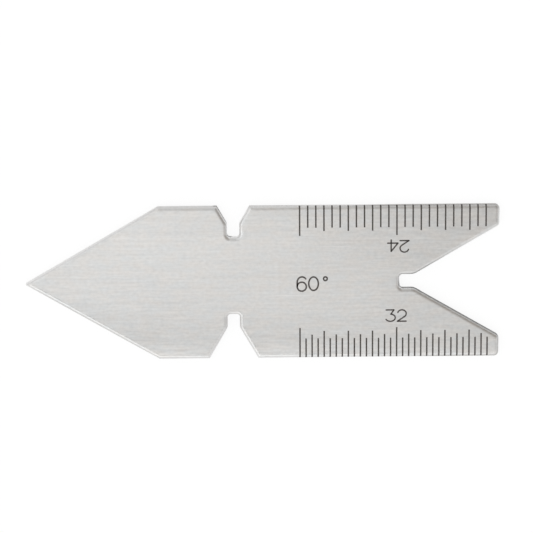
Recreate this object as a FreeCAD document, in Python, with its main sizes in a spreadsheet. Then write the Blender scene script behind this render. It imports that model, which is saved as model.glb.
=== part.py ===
import FreeCAD, Part
import math
import os
import Sketcher
from FreeCAD import Placement, Rotation, Vector

# Centre gauge: one flat steel plate with a 60 degree point, a 60 degree vee in its forked end,
# a 60 degree vee in each long edge, a relief slot at the root of each vee, and inch scales.
# Frame: +X from the point to the forked end, +Y to the edge with the coarser scale of the marked
# face, +Z out of the marked face. The origin is the middle of the back face.

# Millimetres, degrees, counts and one share
SIZES = {
    # The blank
    "plate_length": 61.9,
    "plate_width": 20.2,
    "plate_thickness": 1.2,
    "thread_angle": 60,
    "point_flat": 0.24,
    # The vee in the forked end
    "prong_end_width": 2.76,
    "prong_face_corner": 0.05,
    "end_slot_width": 1.8,
    "end_slot_run": 1.9,
    "end_slot_lip": 1.5,
    # The vees in the two long edges, at a share of the way from the shoulders to the scales' zero
    "side_vee_share": 0.53095,
    "upper_vee_mouth": 4.26,
    "lower_vee_mouth": 6.38,
    "side_slot_width": 1.6,
    "side_slot_run": 1.75,
    "side_slot_lip": 0.8,
    "slot_floor_corner": 0.4,
    # The edges: rolled over on the marked face by the press tool, broken on the back
    "edge_roll": 0.55,
    "back_edge_break": 0.1,
    # The scales
    "scale_inch": 25.4,
    "scale_zero_from_fork": 26.13,
    "mark_width": 0.2,
    "mark_depth": 0.04,
    "upper_divisions": 24,
    "upper_short_mark": 2.87,
    "upper_eighth_mark": 3.32,
    "upper_half_mark": 3.93,
    "lower_divisions": 32,
    "lower_short_mark": 2.63,
    "lower_sixteenth_mark": 3.13,
    "lower_eighth_mark": 3.6,
    "lower_half_mark": 4.03,
    "back_upper_divisions": 20,
    "back_lower_divisions": 14,
    "back_short_mark": 2.87,
    "back_quarter_mark": 3.32,
    "back_half_mark": 3.93,
}

# How far a cut runs out past the metal that it starts in
OVERRUN = 1.0

# Two places on the plate that are this close are the same place
SAME_PLACE = 1e-4

# Sketch points and axes
START, END, CENTRE = range(1, 4)
ORIGIN_POINT = (-1, 1)
X_AXIS = -1

# Places along the plate. The two flanks would meet ahead of the small flat that blunts the point.
SHARP_POINT = "-(Sizes.plate_length + Sizes.point_flat / tan(Sizes.thread_angle / 2)) / 2"
SHOULDER = f"({SHARP_POINT} + Sizes.plate_width / 2 / tan(Sizes.thread_angle / 2))"
SCALE_ZERO = "(Sizes.plate_length / 2 - Sizes.scale_zero_from_fork)"
SIDE_VEE = f"{SHOULDER} + ({SCALE_ZERO} - {SHOULDER}) * Sizes.side_vee_share"


def make_sheet(doc):
    """Sheet of the driving sizes, one row each: name, value."""
    sheet = doc.addObject("Spreadsheet::Sheet", "Sizes")
    for row, (name, value) in enumerate(SIZES.items(), start=1):
        sheet.set(f"A{row}", name)
        sheet.set(f"B{row}", str(value))
        sheet.setAlias(f"B{row}", name)
    doc.recompute()


def origin_feature(body, role):
    """The body's own plane or axis with this role."""
    return next(item for item in body.Origin.OriginFeatures if item.Role == role)


def sketch_on(body, role, name, turn=Rotation()):
    """Empty sketch on one of the body's origin planes, turned within its own frame."""
    sketch = body.newObject("Sketcher::SketchObject", name)
    sketch.AttachmentSupport = (origin_feature(body, role), [""])
    sketch.MapMode = "FlatFace"
    sketch.AttachmentOffset = Placement(Vector(0, 0, 0), turn)
    return sketch


def close_loop(sketch):
    """Join each piece of the drawn outline to the next, and the last to the first."""
    pieces = sketch.GeometryCount
    for piece in range(pieces):
        following = (piece + 1) % pieces
        sketch.addConstraint(Sketcher.Constraint("Coincident", piece, END, following, START))


def draw_outline(sketch, corners):
    """Closed outline of straight lines through the corners."""
    for corner, following in zip(corners, corners[1:] + corners[:1]):
        sketch.addGeometry(Part.LineSegment(Vector(*corner, 0), Vector(*following, 0)))
    close_loop(sketch)


def rule(sketch, kind, *where):
    """Geometric rule, such as Horizontal or Symmetric."""
    sketch.addConstraint(Sketcher.Constraint(kind, *where))


def size(sketch, name, formula, kind, *where):
    """Dimension that takes its value from a formula in the sheet's sizes."""
    value = sketch.evalExpression(formula)
    if kind == "Angle":
        value = math.radians(value)
    index = sketch.addConstraint(Sketcher.Constraint(kind, *where, value))
    sketch.renameConstraint(index, name)
    sketch.setExpression(f"Constraints.{name}", formula)


def shape_so_far(body):
    """The plate's shape after the features made so far."""
    body.Document.recompute()
    return body.Tip.Shape


def upright_edges(shape, stands_there):
    """Names of the straight edges along Z whose place on the plate passes the test."""
    found = []
    for number, edge in enumerate(shape.Edges, start=1):
        box = edge.BoundBox
        upright = box.XLength < SAME_PLACE and box.YLength < SAME_PLACE
        if upright and stands_there(box.XMin, box.YMin):
            found.append(f"Edge{number}")
    return found


def level_face(shape, z):
    """Name of the flat face at height z."""
    for number, face in enumerate(shape.Faces, start=1):
        box = face.BoundBox
        if abs(box.ZMin - z) < SAME_PLACE and abs(box.ZMax - z) < SAME_PLACE:
            return f"Face{number}"
    raise RuntimeError(f"no flat face at {z} mm")


def fix_point(sketch, name, axis, formula, *point):
    """Place a point along one sketch axis, at a signed distance from the sketch's origin."""
    size(sketch, name, formula, f"Distance{axis}", *ORIGIN_POINT, *point)


def cut_through(body, sketch, name):
    """Cut the sketch's shape right through the plate, from the back face up."""
    cut = body.newObject("PartDesign::Pocket", name)
    cut.Profile = sketch
    cut.Type = "ThroughAll"
    cut.Reversed = True


def round_edges(body, edges, radius, name):
    """Round the named edges, or the rim of the named face, of the last feature."""
    last = body.Tip
    rounding = body.newObject("PartDesign::Fillet", name)
    rounding.Base = (last, edges)
    rounding.setExpression("Radius", radius)


def round_corners_at(body, sketch, points, radius, name):
    """Round the upright edges that a cut has left at these points of its sketch."""
    shape = shape_so_far(body)
    spots = [sketch.Placement * sketch.getPoint(*point) for point in points]
    corners = upright_edges(shape, lambda x, y: any(
        math.hypot(x - spot.x, y - spot.y) < SAME_PLACE for spot in spots
    ))
    round_edges(body, corners, radius, name)


def make_blank(body):
    """Flat bar as long and wide as the gauge, with its front end cut to a point."""
    half_length = SIZES["plate_length"] / 2
    half_width = SIZES["plate_width"] / 2
    shoulder = half_width / math.tan(math.radians(SIZES["thread_angle"] / 2)) - half_length
    sketch = sketch_on(body, "XY_Plane", "blank_outline")
    draw_outline(sketch, [
        (-half_length, 0),
        (shoulder, half_width),
        (half_length, half_width),
        (half_length, -half_width),
        (shoulder, -half_width),
    ])
    upper_flank, upper_edge, forked_end, lower_edge = range(4)
    rule(sketch, "PointOnObject", upper_flank, START, X_AXIS)
    rule(sketch, "Symmetric", upper_flank, END, lower_edge, END, X_AXIS)
    rule(sketch, "Symmetric", forked_end, START, forked_end, END, X_AXIS)
    rule(sketch, "Horizontal", upper_edge)
    size(sketch, "flank_angle", "Sizes.thread_angle / 2", "Angle", upper_flank)
    size(sketch, "width", "-Sizes.plate_width", "DistanceY", forked_end, START, forked_end, END)
    fix_point(sketch, "forked_end", "X", "Sizes.plate_length / 2", forked_end, START)
    fix_point(sketch, "sharp_point", "X", SHARP_POINT, upper_flank, START)

    blank = body.newObject("PartDesign::Pad", "blank")
    blank.Profile = sketch
    blank.setExpression("Length", "Sizes.plate_thickness")
    return blank


def cut_relieved_vee(body, name, mouth, slot_width, slot_run, slot_lip, x, y, turn):
    """Vee with a square-floored slot at its root, and rounded lips where the flanks run into the slot.

    In the sketch the metal's edge is the Y axis and the vee opens along +X; x and y place the
    middle of the mouth on the plate, and the turn is the direction that the vee opens to.
    """
    sketch = sketch_on(body, "XY_Plane", f"{name}_outline", Rotation(Vector(0, 0, 1), turn))
    sketch.setExpression("AttachmentOffset.Base.x", x)
    sketch.setExpression("AttachmentOffset.Base.y", y)
    slot_mouth = f"-({mouth} - {slot_width}) / 2 / tan(Sizes.thread_angle / 2)"
    root = float(sketch.evalExpression(slot_mouth))
    half_slot = sketch.evalExpression(slot_width) / 2
    floor = root - sketch.evalExpression(slot_run)
    outer = half_slot + (OVERRUN - root) * math.tan(math.radians(SIZES["thread_angle"] / 2))
    draw_outline(sketch, [
        (root, half_slot),
        (OVERRUN, outer),
        (OVERRUN, -outer),
        (root, -half_slot),
        (floor, -half_slot),
        (floor, half_slot),
    ])
    upper_flank, opening, lower_flank, lower_wall, slot_floor, upper_wall = range(6)
    rule(sketch, "Symmetric", opening, START, opening, END, X_AXIS)
    rule(sketch, "Symmetric", upper_flank, START, lower_flank, END, X_AXIS)
    rule(sketch, "Symmetric", slot_floor, START, slot_floor, END, X_AXIS)
    rule(sketch, "Horizontal", upper_wall)
    size(sketch, "flank_angle", "Sizes.thread_angle / 2", "Angle", upper_flank)
    size(sketch, "slot_width", slot_width, "DistanceY", slot_floor, START, slot_floor, END)
    size(sketch, "slot_run", slot_run, "DistanceX", slot_floor, END, upper_flank, START)
    fix_point(sketch, "slot_mouth", "X", slot_mouth, upper_flank, START)
    fix_point(sketch, "overrun", "X", str(OVERRUN), opening, START)
    cut_through(body, sketch, name)
    floor_ends = [(slot_floor, START), (slot_floor, END)]
    round_corners_at(body, sketch, floor_ends, "Sizes.slot_floor_corner", f"{name}_slot_corners")
    flank_roots = [(upper_flank, START), (lower_flank, END)]
    round_corners_at(body, sketch, flank_roots, slot_lip, f"{name}_slot_lips")


def blunt_point(body):
    """Take the very tip off the point, back to the plate's stated length."""
    sketch = sketch_on(body, "XY_Plane", "point_flat_outline")
    flat = -SIZES["plate_length"] / 2
    draw_outline(sketch, [
        (flat, OVERRUN),
        (flat - OVERRUN, OVERRUN),
        (flat - OVERRUN, -OVERRUN),
        (flat, -OVERRUN),
    ])
    upper_side, front, lower_side, back = range(4)
    rule(sketch, "Horizontal", upper_side)
    rule(sketch, "Symmetric", upper_side, START, lower_side, END, X_AXIS)
    rule(sketch, "Symmetric", front, START, front, END, X_AXIS)
    fix_point(sketch, "flat", "X", "-Sizes.plate_length / 2", back, END)
    size(sketch, "overrun", str(OVERRUN), "DistanceX", upper_side, END, upper_side, START)
    fix_point(sketch, "half_height", "Y", str(OVERRUN), upper_side, START)
    cut_through(body, sketch, "point_flat")


def round_prong_corners(body):
    """Round the four corners of the forked end, so that a small corner stays on the flat face."""
    forked_end = SIZES["plate_length"] / 2
    shape = shape_so_far(body)
    corners = upright_edges(shape, lambda x, y: abs(x - forked_end) < SAME_PLACE)
    round_edges(body, corners, "Sizes.edge_roll + Sizes.prong_face_corner", "prong_corners")


def finish_rims(body):
    """Roll the marked face's rim over and break the back face's rim."""
    marked_face = level_face(shape_so_far(body), SIZES["plate_thickness"])
    round_edges(body, [marked_face], "Sizes.edge_roll", "rolled_rim")
    back_face = level_face(shape_so_far(body), 0)
    rolled = body.Tip
    broken = body.newObject("PartDesign::Chamfer", "broken_rim")
    broken.Base = (rolled, [back_face])
    broken.setExpression("Size", "Sizes.back_edge_break")


def draw_face_mark(sketch, length):
    """Side view of a mark on the marked face.

    Its floor keeps one depth below the surface, up round the rolled edge and in along the flat.
    The sketch's X is the distance out from the plate's middle line, and its Y the height.
    """
    edge = SIZES["plate_width"] / 2
    top = SIZES["plate_thickness"]
    roll = SIZES["edge_roll"]
    depth = SIZES["mark_depth"]
    inner = edge - sketch.evalExpression(length)
    beyond, above = edge + OVERRUN, top + OVERRUN
    corner_arc = Part.Circle(Vector(edge - roll, top - roll, 0), Vector(0, 0, 1), roll - depth)
    corners = [
        (beyond, above),
        (beyond, top - roll),
        (edge - depth, top - roll),
        (edge - roll, top - depth),
        (inner, top - depth),
        (inner, above),
    ]
    for corner, following in zip(corners, corners[1:] + corners[:1]):
        if corner == corners[2]:
            sketch.addGeometry(Part.ArcOfCircle(corner_arc, 0, math.pi / 2))
        else:
            sketch.addGeometry(Part.LineSegment(Vector(*corner, 0), Vector(*following, 0)))
    close_loop(sketch)
    outer_end, lower_side, rolled_floor, floor, inner_end, upper_side = range(6)
    for upright in (outer_end, inner_end):
        rule(sketch, "Vertical", upright)
    for level in (lower_side, floor, upper_side):
        rule(sketch, "Horizontal", level)
    rule(sketch, "Horizontal", rolled_floor, START, rolled_floor, CENTRE)
    rule(sketch, "Vertical", rolled_floor, END, rolled_floor, CENTRE)
    size(sketch, "floor_radius", "Sizes.edge_roll - Sizes.mark_depth", "Radius", rolled_floor)
    roll_out = "Sizes.plate_width / 2 - Sizes.edge_roll"
    roll_up = "Sizes.plate_thickness - Sizes.edge_roll"
    fix_point(sketch, "roll_out", "X", roll_out, rolled_floor, CENTRE)
    fix_point(sketch, "roll_up", "Y", roll_up, rolled_floor, CENTRE)
    fix_point(sketch, "inner_end", "X", f"Sizes.plate_width / 2 - {length}", floor, END)
    fix_point(sketch, "beyond", "X", f"Sizes.plate_width / 2 + {OVERRUN}", outer_end, START)
    fix_point(sketch, "above", "Y", f"Sizes.plate_thickness + {OVERRUN}", outer_end, START)


def draw_back_mark(sketch, length):
    """Side view of a mark on the back face, whose floor is level out to the edge."""
    edge = SIZES["plate_width"] / 2
    inner = edge - sketch.evalExpression(length)
    draw_outline(sketch, [
        (edge + OVERRUN, -OVERRUN),
        (edge + OVERRUN, SIZES["mark_depth"]),
        (inner, SIZES["mark_depth"]),
        (inner, -OVERRUN),
    ])
    outer_end, floor, inner_end, lower_side = range(4)
    for upright in (outer_end, inner_end):
        rule(sketch, "Vertical", upright)
    for level in (floor, lower_side):
        rule(sketch, "Horizontal", level)
    fix_point(sketch, "inner_end", "X", f"Sizes.plate_width / 2 - {length}", floor, END)
    fix_point(sketch, "beyond", "X", f"Sizes.plate_width / 2 + {OVERRUN}", outer_end, START)
    fix_point(sketch, "below", "Y", str(-OVERRUN), outer_end, START)
    fix_point(sketch, "mark_depth", "Y", "Sizes.mark_depth", floor, START)


def add_marks(cutter, name, draw_side_view, turn, divisions, every, length):
    """Marks of one length along a scale, at every so many divisions from its zero."""
    sketch = sketch_on(cutter, "YZ_Plane", f"{name}_side_view", Rotation(Vector(0, 1, 0), turn))
    sketch.setExpression("AttachmentOffset.Base.z", SCALE_ZERO)
    draw_side_view(sketch, length)
    mark = cutter.newObject("PartDesign::Pad", f"{name}_first")
    mark.Profile = sketch
    mark.SideType = "Symmetric"
    mark.setExpression("Length", "Sizes.mark_width")
    marks = cutter.newObject("PartDesign::LinearPattern", name)
    marks.Originals = [mark]
    marks.Direction = (origin_feature(cutter, "X_Axis"), [""])
    marks.Mode = "Spacing"
    marks.setExpression("Offset", f"Sizes.scale_inch / {divisions} * ({every})")
    marks.setExpression("Occurrences", f"ceil({divisions} / ({every}))")
    cutter.Tip = marks


def make_scale(doc, name, draw_side_view, turn, divisions, lengths):
    """What the engraving of one inch scale takes out of the plate.

    The short marks stand at every division, and the longer ones lie over them, a few to the inch.
    """
    cutter = doc.addObject("PartDesign::Body", name)
    for length, to_the_inch in lengths:
        every = f"{divisions} / {to_the_inch}"
        add_marks(cutter, f"{name}_{len(cutter.Group)}", draw_side_view, turn, divisions, every, length)
    return cutter


def make_scales(doc):
    """The four scales: one along each edge of the marked face, and one along each of the back."""
    upper_edge, lower_edge = 0, 180
    return [
        make_scale(doc, "scale_24ths", draw_face_mark, upper_edge, "Sizes.upper_divisions", [
            ("Sizes.upper_short_mark", "Sizes.upper_divisions"),
            ("Sizes.upper_eighth_mark", 8),
            ("Sizes.upper_half_mark", 2),
        ]),
        make_scale(doc, "scale_32nds", draw_face_mark, lower_edge, "Sizes.lower_divisions", [
            ("Sizes.lower_short_mark", "Sizes.lower_divisions"),
            ("Sizes.lower_sixteenth_mark", 16),
            ("Sizes.lower_eighth_mark", 8),
            ("Sizes.lower_half_mark", 2),
        ]),
        make_scale(doc, "scale_20ths", draw_back_mark, upper_edge, "Sizes.back_upper_divisions", [
            ("Sizes.back_short_mark", "Sizes.back_upper_divisions"),
            ("Sizes.back_quarter_mark", 4),
            ("Sizes.back_half_mark", 2),
        ]),
        make_scale(doc, "scale_14ths", draw_back_mark, lower_edge, "Sizes.back_lower_divisions", [
            ("Sizes.back_short_mark", "Sizes.back_lower_divisions"),
            ("Sizes.back_half_mark", 2),
        ]),
    ]


def make_gauge_plate(doc):
    """The whole gauge, stamped from one sheet."""
    body = doc.addObject("PartDesign::Body", "gauge_plate")
    body.Label = "gauge_plate"
    body.Placement = Placement(Vector(0, 0, 0), Rotation())

    make_blank(body)
    cut_relieved_vee(
        body, "end_vee",
        mouth="(Sizes.plate_width - 2 * Sizes.prong_end_width)",
        slot_width="Sizes.end_slot_width",
        slot_run="Sizes.end_slot_run",
        slot_lip="Sizes.end_slot_lip",
        x="Sizes.plate_length / 2", y="0", turn=0,
    )
    for side, sign, turn in (("upper", "", 90), ("lower", "-", -90)):
        cut_relieved_vee(
            body, f"{side}_vee",
            mouth=f"Sizes.{side}_vee_mouth",
            slot_width="Sizes.side_slot_width",
            slot_run="Sizes.side_slot_run",
            slot_lip="Sizes.side_slot_lip",
            x=SIDE_VEE, y=f"{sign}Sizes.plate_width / 2", turn=turn,
        )
    round_prong_corners(body)
    finish_rims(body)
    blunt_point(body)

    engraved = body.newObject("PartDesign::Boolean", "engraved_scales")
    engraved.setObjects(make_scales(doc))
    engraved.Type = "Cut"
    doc.recompute()
    return body


def check_model(doc, plates):
    """Stop if a feature has failed, a shape is not sound, or a cut has taken nothing away."""
    for item in doc.Objects:
        if "Invalid" in item.State or "Error" in item.State:
            raise RuntimeError(f"{item.Name} is in state {item.State}")
    for plate in plates:
        if plate.Shape.isNull() or not plate.Shape.isValid():
            raise RuntimeError(f"{plate.Label} has no sound shape")
    for cut in doc.findObjects("PartDesign::Pocket"):
        if cut.Shape.Volume >= cut.BaseFeature.Shape.Volume:
            raise RuntimeError(f"{cut.Name} cuts nothing")


def main():
    doc = FreeCAD.newDocument("centre_gauge")
    make_sheet(doc)
    plates = [make_gauge_plate(doc)]
    check_model(doc, plates)
    os.makedirs("parts", exist_ok=True)
    for plate in plates:
        plate.Shape.exportStep(f"parts/{plate.Label}.step")
        print(plate.Label, f"{plate.Shape.Volume:.3f} mm3", plate.Shape.BoundBox)


main()
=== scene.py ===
"""Looks of the centre gauge: a brushed stainless plate whose scales and numerals are filled dark."""
import math
from collections import namedtuple

import bpy
import numpy as np
from mathutils import Euler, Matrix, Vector


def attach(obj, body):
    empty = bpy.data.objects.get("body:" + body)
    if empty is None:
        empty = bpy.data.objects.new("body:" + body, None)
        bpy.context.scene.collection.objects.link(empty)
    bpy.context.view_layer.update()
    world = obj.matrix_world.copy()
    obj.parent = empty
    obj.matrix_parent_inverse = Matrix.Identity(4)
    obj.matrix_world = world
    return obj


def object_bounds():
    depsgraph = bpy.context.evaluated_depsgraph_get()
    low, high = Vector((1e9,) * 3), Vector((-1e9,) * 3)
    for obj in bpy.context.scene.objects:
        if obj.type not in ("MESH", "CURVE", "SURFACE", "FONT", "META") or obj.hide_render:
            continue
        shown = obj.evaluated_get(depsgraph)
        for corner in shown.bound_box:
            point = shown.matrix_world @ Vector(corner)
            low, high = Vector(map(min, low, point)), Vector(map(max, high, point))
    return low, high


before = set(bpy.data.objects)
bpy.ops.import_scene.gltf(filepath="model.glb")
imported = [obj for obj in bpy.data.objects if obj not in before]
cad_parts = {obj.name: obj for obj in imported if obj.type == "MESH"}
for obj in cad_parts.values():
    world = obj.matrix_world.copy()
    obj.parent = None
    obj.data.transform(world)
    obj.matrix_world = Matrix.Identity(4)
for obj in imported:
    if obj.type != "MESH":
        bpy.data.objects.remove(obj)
cad_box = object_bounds()

MM = 0.001
INCH = 25.4 * MM

# The plate as it was stamped
TOP = cad_box[1].z
EDGE = cad_box[1].y
FORKED_END = cad_box[1].x
EDGE_ROLL = 0.55 * MM
BACK_EDGE_BREAK = 0.1 * MM

# The grooves of the scales
SCALE_ZERO = FORKED_END - 26.13 * MM
MARK_WIDTH = 0.2 * MM
MARK_DEPTH = 0.04 * MM

# The dark filling lies this far below the steel's surface, and keys this far into the groove's walls
FILL_LEVEL = 0.01 * MM
FILL_KEY = 0.004 * MM

# The numerals are this thick a film on the steel, and are sunk this far into it
FILM = 0.003 * MM
FILM_SUNK = 0.02 * MM

# How finely curves are divided
ROLL_STEPS = 10
BOW_STEPS = 40
ROUND_END_STEPS = 7

# The rounded end of a stroke stops at this angle in radians, which leaves it blunt and not pointed
BLUNT_END = 0.2

# The places that carry a scale. A place's turn takes (along, outward, up) there to the plate's own
# X, Y and Z: outward is from the middle line to the edge, and up is out of the face. Its level is the
# height of the face.
Place = namedtuple("Place", "turn level rolled_edge")
FRONT_UPPER = Place((1, 1, 1), TOP, True)
FRONT_LOWER = Place((-1, -1, 1), TOP, True)
BACK_UPPER = Place((-1, 1, -1), 0.0, False)
BACK_LOWER = Place((1, -1, -1), 0.0, False)

# Each scale's place and its marks, from the shortest to the longest: how far they run in from the
# edge, and how many to the inch are at least as long
SCALES = {
    "scale_24ths_filling": (FRONT_UPPER, [(2.87 * MM, 24), (3.32 * MM, 8), (3.93 * MM, 2)]),
    "scale_32nds_filling": (FRONT_LOWER, [
        (2.63 * MM, 32), (3.13 * MM, 16), (3.6 * MM, 8), (4.03 * MM, 2),
    ]),
    "scale_20ths_filling": (BACK_UPPER, [(2.87 * MM, 20), (3.32 * MM, 4), (3.93 * MM, 2)]),
    "scale_14ths_filling": (BACK_LOWER, [(2.87 * MM, 14), (3.93 * MM, 2)]),
}

# Height and stroke of the numerals that name a scale, and of those that name the angle
SCALE_NUMERAL = (1.52 * MM, 0.19 * MM)
ANGLE_NUMERAL = (1.79 * MM, 0.215 * MM)

# The gap between two numerals, as a share of their height
NUMERAL_GAP = 0.186

# Each line of numerals: its place, what it reads, its height and stroke, the X of its middle on the
# plate, and how far its feet are out from the middle line
NUMERAL_LINES = {
    "numerals_24": (FRONT_UPPER, "24", SCALE_NUMERAL, 17.68 * MM, 5.43 * MM),
    "numerals_32": (FRONT_LOWER, "32", SCALE_NUMERAL, 17.40 * MM, 5.285 * MM),
    "numerals_20": (BACK_UPPER, "20", SCALE_NUMERAL, 17.52 * MM, 5.37 * MM),
    "numerals_14": (BACK_LOWER, "14", SCALE_NUMERAL, 17.52 * MM, 5.37 * MM),
    "numerals_60_degrees": (FRONT_LOWER, "60\N{DEGREE SIGN}", ANGLE_NUMERAL, 6.43 * MM, 1.07 * MM),
}


def on_face(place, along, outward, up):
    """Points at a place: (along, outward, up) times its turn, and moved up to its level."""
    points = np.stack(np.broadcast_arrays(along, outward, up), axis=-1) * place.turn
    points[..., 2] += place.level
    return points


def skin(rings, joined_ends):
    """Closed skin through rings of four points carried along a path, as points and four-sided faces.

    rings[p, s, c] is corner c of station s on path p. Corners c and c + 1 of a station make a face
    with the same corners of the next station. A path whose ends are joined goes on from its last
    station to its first, and any other is filled in at both ends.
    """
    paths, stations, corners = rings.shape[:3]
    number = np.arange(paths * stations * corners).reshape(paths, stations, corners)
    ahead = np.roll(number, -1, axis=1)
    here, there = (number, ahead) if joined_ends else (number[:, :-1], ahead[:, :-1])
    sides = np.stack([here, np.roll(here, -1, 2), np.roll(there, -1, 2), there], axis=-1)
    sides = sides.reshape(-1, 4)
    ends = np.concatenate([number[:, 0, ::-1], number[:, -1]])
    return rings.reshape(-1, 3), sides if joined_ends else np.concatenate([sides, ends])


def make_piece(name, skins, material):
    """One piece that rides on the plate, from several skins put into one mesh."""
    starts = np.cumsum([0] + [len(points) for points, _ in skins])
    points = np.concatenate([points for points, _ in skins])
    faces = np.concatenate([faces + start for (_, faces), start in zip(skins, starts)])
    mesh = bpy.data.meshes.new(name)
    mesh.from_pydata(points.tolist(), [], faces.tolist())
    mesh.materials.append(material)
    piece = bpy.data.objects.new(name, mesh)
    bpy.context.scene.collection.objects.link(piece)
    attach(piece, "root")


def mark_lengths(marks):
    """Length of each mark of an inch scale: the longest one that falls on that division."""
    divisions = marks[0][1]
    number = np.arange(divisions)
    chosen = np.zeros(divisions)
    for length, to_the_inch in marks:
        chosen[number % (divisions // to_the_inch) == 0] = length
    return chosen


def fill_scale(name, place, lengths, material):
    """The dark filling of one scale's grooves: for each mark a rectangle carried along the groove.

    The section of the steel's surface is level out to the edge's start, and on a rolled edge it goes
    on as a quarter circle: outward = start + roll * sin(turn), up = roll * (cos(turn) - 1). The
    filling's top and bottom are that line moved in along its normal (sin(turn), cos(turn)), by the
    filling's level and the groove's depth. On the back the filling's top runs on from the start until
    it meets the broken edge, which falls as fast as it goes outward.
    """
    if place.rolled_edge:
        start, roll, last_turn, run_on = EDGE - EDGE_ROLL, EDGE_ROLL, math.pi / 2, 0.0
    else:
        start, roll, last_turn, run_on = EDGE - BACK_EDGE_BREAK, 0.0, 0.0, FILL_LEVEL
    turn = np.concatenate([[0.0], np.linspace(0, last_turn, ROLL_STEPS)])
    outward = np.tile(start + roll * np.sin(turn), (len(lengths), 1))
    outward[:, 0] = EDGE - lengths - FILL_KEY
    outward[:, 1:] += np.linspace(0, run_on, ROLL_STEPS)
    up = roll * (np.cos(turn) - 1)
    zero = SCALE_ZERO + INCH / len(lengths) * np.arange(len(lengths))
    side = np.array([-1, -1, 1, 1])
    bottom = MARK_DEPTH + FILL_KEY
    depth = np.array([FILL_LEVEL, bottom, bottom, FILL_LEVEL])
    rings = on_face(
        place,
        zero[:, None, None] * place.turn[0] + side * (MARK_WIDTH / 2 + FILL_KEY),
        outward[:, :, None] - np.sin(turn)[None, :, None] * depth,
        up[None, :, None] - np.cos(turn)[None, :, None] * depth,
    )
    make_piece(name, [skin(rings, False)], material)


def bow(centre_x, centre_y, half_wide, half_high, first, last):
    """Part of an upright ellipse between two angles in degrees: centre + (wide * cos, high * sin)."""
    turn = np.radians(np.linspace(first, last, BOW_STEPS))
    return np.stack([centre_x + half_wide * np.cos(turn), centre_y + half_high * np.sin(turn)], axis=1)


def bar(*ends):
    """Straight line through the given points."""
    return np.array(ends, float)


# Each numeral as its width and its strokes, as shares of its height. A stroke is the line that the
# cutter follows.
NUMERALS = {
    "0": (0.70, [bow(0.35, 0.5, 0.35, 0.5, 0, 360)]),
    "1": (0.28, [bar((0, 0.78), (0.28, 1)), bar((0.28, 1), (0.28, 0))]),
    "2": (0.76, [
        np.concatenate([bow(0.39, 0.67, 0.37, 0.33, 162, -50), bar((0, 0))]),
        bar((0, 0), (0.75, 0)),
    ]),
    "3": (0.85, [
        bar((0.07, 1), (0.73, 1)),
        bar((0.73, 1), (0.47, 0.63)),
        bow(0.43, 0.315, 0.42, 0.315, 84, -152),
    ]),
    "4": (0.91, [
        bar((0.58, -0.06), (0.58, 0.93)),
        bar((0.58, 0.93), (0, 0.21)),
        bar((0, 0.21), (0.88, 0.21)),
    ]),
    "6": (0.68, [np.concatenate([
        bow(0.372, 0.61, 0.352, 0.402, 40, 180),
        bow(0.353, 0.285, 0.333, 0.335, 180, 540),
    ])]),
    "\N{DEGREE SIGN}": (0.47, [bow(0.33, 0.86, 0.135, 0.135, 0, 360)]),
}


def stroke_skin(place, line, half_width):
    """Skin of one flat stroke: a rectangle carried along its line, half a width to each side.

    Past an open end the line runs on by half_width * cos(turn) while the half width falls to
    half_width * sin(turn), which rounds the end.
    """
    joined_ends = np.allclose(line[0], line[-1])
    if joined_ends:
        line = line[:-1]
        forward = np.roll(line, -1, 0) - np.roll(line, 1, 0)
        width = np.full(len(line), half_width)
    else:
        turn = np.linspace(BLUNT_END, math.pi / 2, ROUND_END_STEPS, endpoint=False)
        reach = half_width * np.cos(turn)[:, None]
        before, after = line[1] - line[0], line[-1] - line[-2]
        before, after = before / np.hypot(*before), after / np.hypot(*after)
        line = np.concatenate([line[0] - before * reach, line, line[-1] + after * reach[::-1]])
        forward = np.gradient(line, axis=0)
        between_ends = np.ones(len(line) - 2 * ROUND_END_STEPS)
        width = half_width * np.concatenate([np.sin(turn), between_ends, np.sin(turn)[::-1]])
    forward = forward / np.hypot(*forward.T)[:, None]
    sideways = forward[:, ::-1] * (-1, 1)
    offset = width[:, None] * np.array([1, 1, -1, -1])
    flat = line[:, None, :] + sideways[:, None, :] * offset[..., None]
    level = np.array([FILM, -FILM_SUNK, -FILM_SUNK, FILM])
    return skin(on_face(place, -flat[None, ..., 0], -flat[None, ..., 1], level), joined_ends)


def add_numerals(name, place, text, size, middle, foot, material):
    """Numerals that read with their feet towards the place's edge, each its width and a gap on."""
    height, stroke = size
    advances = [NUMERALS[sign][0] + NUMERAL_GAP for sign in text]
    left = np.cumsum([0] + advances[:-1]) - (sum(advances) - NUMERAL_GAP) / 2
    feet = (-middle * place.turn[0], -foot)
    skins = [
        stroke_skin(place, (line + (start, 0)) * height + feet, stroke / 2)
        for sign, start in zip(text, left)
        for line in NUMERALS[sign][1]
    ]
    make_piece(name, skins, material)


def node(tree, kind, into=(), **settings):
    """New node with its settings, and with a value or another node's output at each named input."""
    made = tree.nodes.new(kind)
    for name, value in settings.items():
        setattr(made, name, value)
    for name, value in dict(into).items():
        if isinstance(value, bpy.types.NodeSocket):
            tree.links.new(value, made.inputs[name])
        else:
            made.inputs[name].default_value = value
    return made


def new_material(name):
    """Material whose node tree is still empty."""
    material = bpy.data.materials.new(name)
    material.use_nodes = True
    material.node_tree.nodes.clear()
    return material, material.node_tree


def finish_surface(tree, shader):
    """Give the material its surface."""
    node(tree, "ShaderNodeOutputMaterial", {"Surface": shader.outputs[0]})


def grain(tree, place, size, detail=2.0):
    """Noise from 0 to 1 whose grains are as long in X, Y and Z as size says, in millimetres."""
    to_the_metre = [1 / (length * MM) for length in size]
    spread = node(tree, "ShaderNodeMapping", {"Vector": place, "Scale": to_the_metre}).outputs[0]
    noise = node(tree, "ShaderNodeTexNoise", {"Vector": spread, "Scale": 1.0, "Detail": detail})
    return noise.outputs[0]


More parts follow.
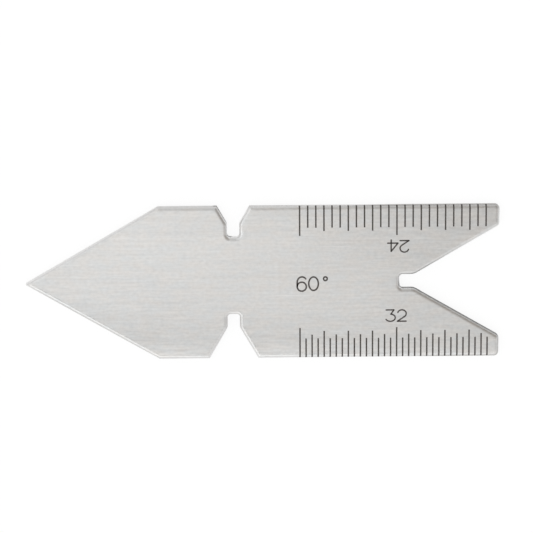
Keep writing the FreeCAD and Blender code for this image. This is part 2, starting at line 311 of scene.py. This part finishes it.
def scaled(tree, value, old, new=(0, 1), kind="LINEAR"):
    """Value moved from an old range to a new one, and held at the new one's ends."""
    moved = node(tree, "ShaderNodeMapRange", {
        "Value": value, "From Min": old[0], "From Max": old[1], "To Min": new[0], "To Max": new[1],
    }, interpolation_type=kind)
    return moved.outputs[0]


def combined(tree, operation, first, second):
    """Two values put together by one operation, such as ADD or MULTIPLY."""
    return node(tree, "ShaderNodeMath", {0: first, 1: second}, operation=operation).outputs[0]


def summed(tree, parts):
    """Sum of values, each times its weight."""
    total, *others = [combined(tree, "MULTIPLY", value, weight) for value, weight in parts]
    for other in others:
        total = combined(tree, "ADD", total, other)
    return total


# The Mix node's sockets by number, because those for numbers and for colours share their names
MIX_SHARE = 0
MIX_FIRST_NUMBER, MIX_SECOND_NUMBER = 2, 3
MIX_FIRST_COLOUR, MIX_SECOND_COLOUR, MIXED_COLOUR = 6, 7, 2


def blended(tree, share, first, second):
    """Colour that goes from the first to the second while the share goes from 0 to 1."""
    first, second = (
        colour if isinstance(colour, bpy.types.NodeSocket) else (*colour, 1)
        for colour in (first, second)
    )
    mix = node(tree, "ShaderNodeMix", {
        MIX_SHARE: share, MIX_FIRST_COLOUR: first, MIX_SECOND_COLOUR: second,
    }, data_type="RGBA")
    return mix.outputs[MIXED_COLOUR]


# What the brushing is made of: the size of each kind of grain in millimetres, and its share
BRUSHING = {
    "hairline": ((2.4, 0.28, 0.28), 0.36),
    "streak": ((16, 0.33, 0.33), 0.2),
    "speckle": ((0.5, 0.4, 0.4), 0.34),
    "cloud": ((9, 5, 5), 0.1),
}
BRUSHING_RELIEF = 0.01 * MM
BRUSHING_RELIEF_STRENGTH = 0.5

# Grains in millimetres of the tint and scratches of the face, and of the sheared walls
TINT_GRAIN = (2, 1, 1)
SCRATCH_GRAIN = (7, 0.12, 0.12)
SHEAR_GRAIN = (0.12, 0.12, 1.5)

# The part of a noise's range that spans from its dark end to its light end
NOISE_SPREAD = (0.3, 0.7)
BRUSHING_SPREAD = (0.37, 0.63)
TINT_SPREAD = (0.35, 0.65)
SCRATCH_SPREAD = (0.76, 0.80)

# Steel tones, from the dark end of the noise to its light end
WARM_STEEL = (0.627, 0.616, 0.601), (0.752, 0.740, 0.722)
COOL_STEEL = (0.608, 0.616, 0.617), (0.729, 0.739, 0.739)
SHEARED_STEEL = (0.73, 0.725, 0.72), (0.85, 0.845, 0.84)
STEEL_ROUGHNESS = (0.30, 0.42)

# A scratch shows this tone, at most this strongly
SCRATCHED_STEEL = (0.80, 0.79, 0.78)
SCRATCH_STRENGTH = 0.7

# Heights between which the sheared wall comes in above the back, goes over into the brushed face, and
# the rolled edge ends in the flat of the face
WALL_FOOT = (0.02 * MM, 0.12 * MM)
WALL_HEAD = (TOP - 0.25 * MM, TOP - 0.05 * MM)
FLAT_START = (TOP - 0.06 * MM, TOP - 0.01 * MM)

# The flat of the face is lighter towards its lower edge, by this share at the edge
LIGHTER_MARGIN_WIDTH = 2.4 * MM
LIGHTER_MARGIN_SHARE = 0.14


def brushed_stainless():
    """Stainless sheet brushed along its length, with plainer sheared walls.

    The brushing is a sum of long and short grains, each times its share. It sets how light the steel
    is, between two warm tones or two cool ones, and its relief. The face's tone is then times 1 plus
    a share that makes it lighter towards its lower edge, and falls evenly to nothing in from that edge.
    """
    material, tree = new_material("brushed_stainless")
    place = node(tree, "ShaderNodeTexCoord").outputs["Object"]
    grains = {kind: grain(tree, place, size) for kind, (size, _) in BRUSHING.items()}
    tint = grain(tree, place, TINT_GRAIN)
    scratch = grain(tree, place, SCRATCH_GRAIN, detail=0.0)
    shear = grain(tree, place, SHEAR_GRAIN)

    separate = node(tree, "ShaderNodeSeparateXYZ", {0: place}).outputs
    across, height = separate["Y"], separate["Z"]
    below_face = scaled(tree, height, WALL_HEAD, (1, 0), "SMOOTHSTEP")
    above_back = scaled(tree, height, WALL_FOOT, kind="SMOOTHSTEP")
    wall = combined(tree, "MULTIPLY", below_face, above_back)

    brushed = summed(tree, [(grains[kind], share) for kind, (_, share) in BRUSHING.items()])
    lightness = scaled(tree, brushed, BRUSHING_SPREAD)
    warm = blended(tree, lightness, *WARM_STEEL)
    cool = blended(tree, lightness, *COOL_STEEL)
    face_tone = blended(tree, scaled(tree, tint, TINT_SPREAD), warm, cool)
    scratched = scaled(tree, scratch, SCRATCH_SPREAD, (0, SCRATCH_STRENGTH))
    face_tone = blended(tree, scratched, face_tone, SCRATCHED_STEEL)
    on_flat = scaled(tree, height, FLAT_START)
    # The flat of the face is made lighter towards its lower edge
    by_lower_edge = scaled(tree, across, (-EDGE, -EDGE + LIGHTER_MARGIN_WIDTH), (LIGHTER_MARGIN_SHARE, 0))
    margin_lightening = combined(tree, "ADD", combined(tree, "MULTIPLY", on_flat, by_lower_edge), 1.0)
    margin_tone = node(tree, "ShaderNodeVectorMath", {0: face_tone, "Scale": margin_lightening}, operation="SCALE")
    wall_tone = blended(tree, scaled(tree, shear, NOISE_SPREAD), *SHEARED_STEEL)
    tone = blended(tree, wall, margin_tone.outputs[0], wall_tone)

    relief = node(tree, "ShaderNodeMix", {
        MIX_SHARE: wall, MIX_FIRST_NUMBER: brushed, MIX_SECOND_NUMBER: shear,
    }).outputs[0]
    bump = node(tree, "ShaderNodeBump", {
        "Strength": BRUSHING_RELIEF_STRENGTH, "Distance": BRUSHING_RELIEF, "Height": relief,
    })
    finish_surface(tree, node(tree, "ShaderNodeBsdfPrincipled", {
        "Base Color": tone,
        "Metallic": 1.0,
        "Roughness": scaled(tree, grains["hairline"], NOISE_SPREAD, STEEL_ROUGHNESS),
        "Normal": bump.outputs[0],
    }))
    return material


# The filling's mottling: its grain in millimetres and fine detail, its tones and its roughness
MOTTLE_GRAIN = (0.2, 0.2, 0.2)
MOTTLE_DETAIL = 3.0
FILLING_TONES = (0.045, 0.037, 0.033), (0.080, 0.067, 0.060)
FILLING_ROUGHNESS = (0.5, 0.7)


def dark_filling():
    """Baked dark filling of the grooves and numerals, slightly mottled."""
    material, tree = new_material("dark_filling")
    place = node(tree, "ShaderNodeTexCoord").outputs["Object"]
    mottle = grain(tree, place, MOTTLE_GRAIN, MOTTLE_DETAIL)
    finish_surface(tree, node(tree, "ShaderNodeBsdfPrincipled", {
        "Base Color": blended(tree, scaled(tree, mottle, NOISE_SPREAD), *FILLING_TONES),
        "Roughness": scaled(tree, mottle, NOISE_SPREAD, FILLING_ROUGHNESS),
    }))
    return material


def dress_plate():
    """Brushed stainless on the plate, and the dark filling in its scales and numerals."""
    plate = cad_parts["gauge_plate"]
    steel, filling = brushed_stainless(), dark_filling()
    plate.data.materials.clear()
    plate.data.materials.append(steel)
    for name, (place, marks) in SCALES.items():
        fill_scale(name, place, mark_lengths(marks), filling)
    for name, line in NUMERAL_LINES.items():
        add_numerals(name, *line, filling)


# The camera: its sensor and lens in millimetres, its turn in degrees, the spot on the marked face that
# it aims at in millimetres, and its distance from that spot
SENSOR_WIDTH = 36.0
LENS = 175.6
CAMERA_TURN = (-9.914, -1.130, -0.337)
CAMERA_AIM = (0.473, 2.166, 1.2)
CAMERA_DISTANCE = 339.6 * MM


def add_camera():
    """Camera nearly straight above the marked face, as in the photograph.

    It stands off from the spot by its distance along its own backward direction, and shows what is
    between a hundredth of that distance and ten times it.
    """
    data = bpy.data.cameras.new("camera")
    data.sensor_width = SENSOR_WIDTH
    data.lens = LENS
    data.clip_start, data.clip_end = CAMERA_DISTANCE / 100, CAMERA_DISTANCE * 10
    turn = Euler([math.radians(angle) for angle in CAMERA_TURN])
    camera = bpy.data.objects.new("camera", data)
    camera.rotation_euler = turn
    camera.location = Vector(CAMERA_AIM) * MM + turn.to_matrix() @ Vector((0, 0, CAMERA_DISTANCE))
    bpy.context.scene.collection.objects.link(camera)
    bpy.context.scene.camera = camera


def add_sheet(name, half_side, height, material):
    """Level square sheet of the studio, which isn't part of the gauge."""
    corners = ((-1, -1), (1, -1), (1, 1), (-1, 1))
    mesh = bpy.data.meshes.new(name)
    mesh.from_pydata([(x * half_side, y * half_side, height) for x, y in corners], [], [(0, 1, 2, 3)])
    mesh.materials.append(material)
    sheet = bpy.data.objects.new(name, mesh)
    bpy.context.scene.collection.objects.link(sheet)
    return sheet


# The floor, just clear of the plate's back: its height and half its side, how white its paper is, how
# strongly it glows and how much of what the camera sees is that glow, and its white in the steel
FLOOR_HEIGHT = -0.012 * MM
FLOOR_HALF_SIDE = 1.5
PAPER_WHITE = (0.9, 0.9, 0.9, 1)
FLOOR_GLOW = 1.1
GLOW_SHARE = 0.75
FLOOR_IN_STEEL = (0.97, 0.97, 0.97)

# The tent: its height and half its side, and its light, which falls off between two distances from
# the gauge
TENT_HEIGHT = 100 * MM
TENT_HALF_SIDE = 0.6
TENT_FALL_OFF = (180 * MM, 420 * MM)
TENT_LIGHT = (1.1, 0.83)

# The cards on the tent, and the painted shade on the floor that only the steel's reflections see: the X
# and Y of the middle, half the length and half the width in millimetres, the turn in degrees, what the
# light is times there, and the share of the way out to the rim at which the card starts to fade
TENT_CARDS = {
    "warm grey panel at the upper right":
        ((260, 220), (420, 250), 42, (0.35, 0.32, 0.29), 0.5),
    "strip light over the plate":
        ((-20, -17), (50, 15), 0, (1.5, 1.5, 1.5), 0.8),
    "dark gap beside the strip light":
        ((-50, -45), (86, 26), -4, (0.45, 0.45, 0.45), 0.9),
    "window at the left":
        ((-315, -90), (225, 600), 40, (1.4, 1.4, 1.4), 0.9),
}
# Painted shade in the floor's white as the steel reflects it: darker patches beside the plate's edges,
# in its vees and in its slots
FLOOR_PAINTED_SHADE = {
    "painted shade at the end vee's lower side":
        ((27.0, -3.9), (8.9, 4.0), -30, (0.26, 0.26, 0.255), 0.7),
    "painted deep shade at the end slot's lower side":
        ((19.9, -0.85), (1.9, 0.5), -8, (0.05, 0.05, 0.05), 0.7),
    "painted deep shade in the end slot's lower corner":
        ((18.25, -0.75), (0.5, 0.3), 10, (0.02, 0.02, 0.02), 0.7),
    "painted shade at the upper vee's left side":
        ((-5.4, 9.0), (2.1, 0.9), -62, (0.17, 0.165, 0.155), 0.7),
    "painted deep shade in the upper slot's left corner":
        ((-4.4, 6.15), (0.55, 0.3), -28, (0.01, 0.01, 0.01), 0.7),
    "painted shade past the upper edge's right half":
        ((26, 24), (24, 17), 0, (0.57, 0.56, 0.55), 0.85),
    "painted faint shade along the upper edge":
        ((-2, 26.7), (60, 17), 0, (0.80, 0.795, 0.79), 0.97),
    "painted shade past the lower right corner":
        ((29, -12), (9, 5.5), 0, (0.55, 0.54, 0.52), 0.7),
    "painted faint shade along the point's lower side":
        ((-23.2, -6.8), (10, 2.5), -30, (0.82, 0.81, 0.80), 0.7),
    "painted faint shade in the lower vee":
        ((-3.85, -7.5), (2.2, 3.5), 0, (0.84, 0.83, 0.82), 0.7),
}


def carded(tree, cards, light, height):
    """Light of a level sheet, times each of its cards: the tent's panels, or the floor's painted shade.

    A card is an ellipse: at its middle the light is times the card's colour, past its rim times 1, and
    between where the card starts to fade and its rim a smooth step leads from one to the other.
    """
    place = node(tree, "ShaderNodeTexCoord").outputs["Object"]
    for (middle_x, middle_y), (half_length, half_width), turn, colour, fade_start in cards.values():
        in_card = node(tree, "ShaderNodeMapping", {
            "Vector": place,
            "Location": (middle_x * MM, middle_y * MM, height),
            "Rotation": (0, 0, math.radians(turn)),
            "Scale": (half_length * MM, half_width * MM, 1),
        }, vector_type="TEXTURE").outputs[0]
        from_middle = node(tree, "ShaderNodeVectorMath", {0: in_card}, operation="LENGTH")
        faded = scaled(tree, from_middle.outputs["Value"], (fade_start, 1), kind="SMOOTHSTEP")
        card = blended(tree, faded, colour, (1, 1, 1))
        light = node(tree, "ShaderNodeVectorMath", {0: card, 1: light}, operation="MULTIPLY").outputs[0]
    return light


def add_floor():
    """Plain pale floor under the gauge, near white to the eye, which keeps its shadow.

    The camera sees part glow and part paper. The steel's reflections see white with painted shade
    beside the plate's edges.
    """
    material, tree = new_material("pale_floor")
    paper = node(tree, "ShaderNodeBsdfDiffuse", {"Color": PAPER_WHITE})
    glow = node(tree, "ShaderNodeEmission", {"Color": (1, 1, 1, 1), "Strength": FLOOR_GLOW})
    rays = node(tree, "ShaderNodeLightPath").outputs
    share = combined(tree, "MULTIPLY", rays["Is Camera Ray"], GLOW_SHARE)
    seen = node(tree, "ShaderNodeMixShader", {0: share, 1: paper.outputs[0], 2: glow.outputs[0]})
    mirrored = node(tree, "ShaderNodeEmission", {
        "Color": carded(tree, FLOOR_PAINTED_SHADE, FLOOR_IN_STEEL, FLOOR_HEIGHT),
    })
    finish_surface(tree, node(tree, "ShaderNodeMixShader", {
        0: rays["Is Glossy Ray"], 1: seen.outputs[0], 2: mirrored.outputs[0],
    }))
    add_sheet("floor", FLOOR_HALF_SIDE, FLOOR_HEIGHT, material)


def add_tent():
    """White tent over the gauge with its cards, seen only by the steel's reflections.

    Its light falls by a smooth step from one strength to another with the distance from the gauge.
    """
    material, tree = new_material("tent_with_cards")
    place = node(tree, "ShaderNodeTexCoord").outputs["Object"]
    from_gauge = node(tree, "ShaderNodeVectorMath", {0: place}, operation="LENGTH").outputs["Value"]
    light = scaled(tree, from_gauge, TENT_FALL_OFF, TENT_LIGHT, "SMOOTHSTEP")
    finish_surface(tree, node(tree, "ShaderNodeEmission", {
        "Color": carded(tree, TENT_CARDS, light, TENT_HEIGHT),
    }))
    tent = add_sheet("tent", TENT_HALF_SIDE, TENT_HEIGHT, material)
    tent.visible_camera = tent.visible_diffuse = tent.visible_shadow = False
    tent.visible_transmission = tent.visible_volume_scatter = False


# The room's strength, and the lamp's width in metres, its watts and its place
ROOM_LIGHT = 0.8
LAMP_WIDTH = 0.5
LAMP_WATTS = 0.35
LAMP_PLACE = (-0.5, -0.5, 0.6)


def light_studio():
    """Room that is white to the camera, and one soft lamp at the lower left, turned to the gauge."""
    world = bpy.data.worlds.new("studio")
    bpy.context.scene.world = world
    world.use_nodes = True
    tree = world.node_tree
    tree.nodes.clear()
    rays = node(tree, "ShaderNodeLightPath").outputs
    seen = combined(tree, "MAXIMUM", rays["Is Camera Ray"], rays["Is Transmission Ray"])
    room = node(tree, "ShaderNodeBackground", {"Color": (1, 1, 1, 1), "Strength": ROOM_LIGHT})
    white = node(tree, "ShaderNodeBackground", {"Color": (1, 1, 1, 1), "Strength": 1.0})
    both = node(tree, "ShaderNodeMixShader", {0: seen, 1: room.outputs[0], 2: white.outputs[0]})
    node(tree, "ShaderNodeOutputWorld", {"Surface": both.outputs[0]})

    lamp_data = bpy.data.lights.new("soft_lamp", "AREA")
    lamp_data.shape = "DISK"
    lamp_data.size = LAMP_WIDTH
    lamp_data.energy = LAMP_WATTS
    lamp = bpy.data.objects.new("soft_lamp", lamp_data)
    lamp.location = LAMP_PLACE
    lamp.rotation_euler = (-lamp.location).to_track_quat("-Z", "Y").to_euler()
    bpy.context.scene.collection.objects.link(lamp)


dress_plate()
add_floor()
add_tent()
light_studio()
add_camera()

scene = bpy.context.scene
scene.view_settings.view_transform = "Standard"
